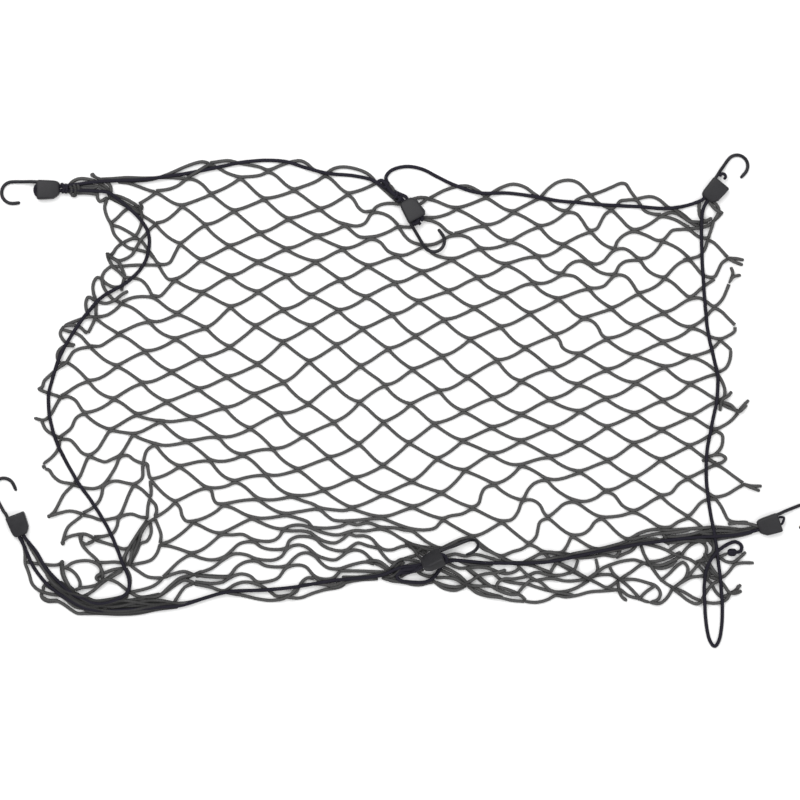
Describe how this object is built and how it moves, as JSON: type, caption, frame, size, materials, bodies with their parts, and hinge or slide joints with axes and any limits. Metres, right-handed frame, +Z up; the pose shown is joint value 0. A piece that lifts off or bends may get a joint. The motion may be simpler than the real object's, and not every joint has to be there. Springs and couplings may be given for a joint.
{
  "type": "elastic cargo net",
  "caption": "Elastic cargo net of knotless diamond mesh laid out flat, bunched along its lower side, with a border cord run round it through moulded end hooks.",
  "frame": {"origin": "centre of the laid-out net's bounding box, on the surface that it lies on", "axes": "+X along the net's long side towards the right-hand hooks, +Y across it towards the smooth upper edge, +Z up out of the net, which lies flat"},
  "size_m": [0.8244, 0.4961, 0.0264],
  "materials": {
    "net_cord": "braided textile, matte",
    "border_cord": "tightly braided textile, matte",
    "hook_plastic": "moulded, fine matte",
    "hook_coating": "steel wire with a smooth dark coating, satin"
  },
  "bodies": {
    "root": {"net": "net_cord", "border_top_left": "border_cord", "border_top_right": "border_cord", "border_right": "border_cord", "border_lower_right": "border_cord", "border_lower_left": "border_cord", "border_left": "border_cord", "hook_body_top_left": "hook_plastic", "hook_body_top_middle": "hook_plastic", "hook_body_top_right": "hook_plastic", "hook_body_bottom_left": "hook_plastic", "hook_body_bottom_middle": "hook_plastic", "hook_body_bottom_right": "hook_plastic", "hook_wire_top_left": "hook_coating", "hook_wire_top_middle": "hook_coating", "hook_wire_top_right": "hook_coating", "hook_wire_bottom_left": "hook_coating", "hook_wire_bottom_middle": "hook_coating", "hook_wire_bottom_right": "hook_coating"}
  },
  "joints": []
}
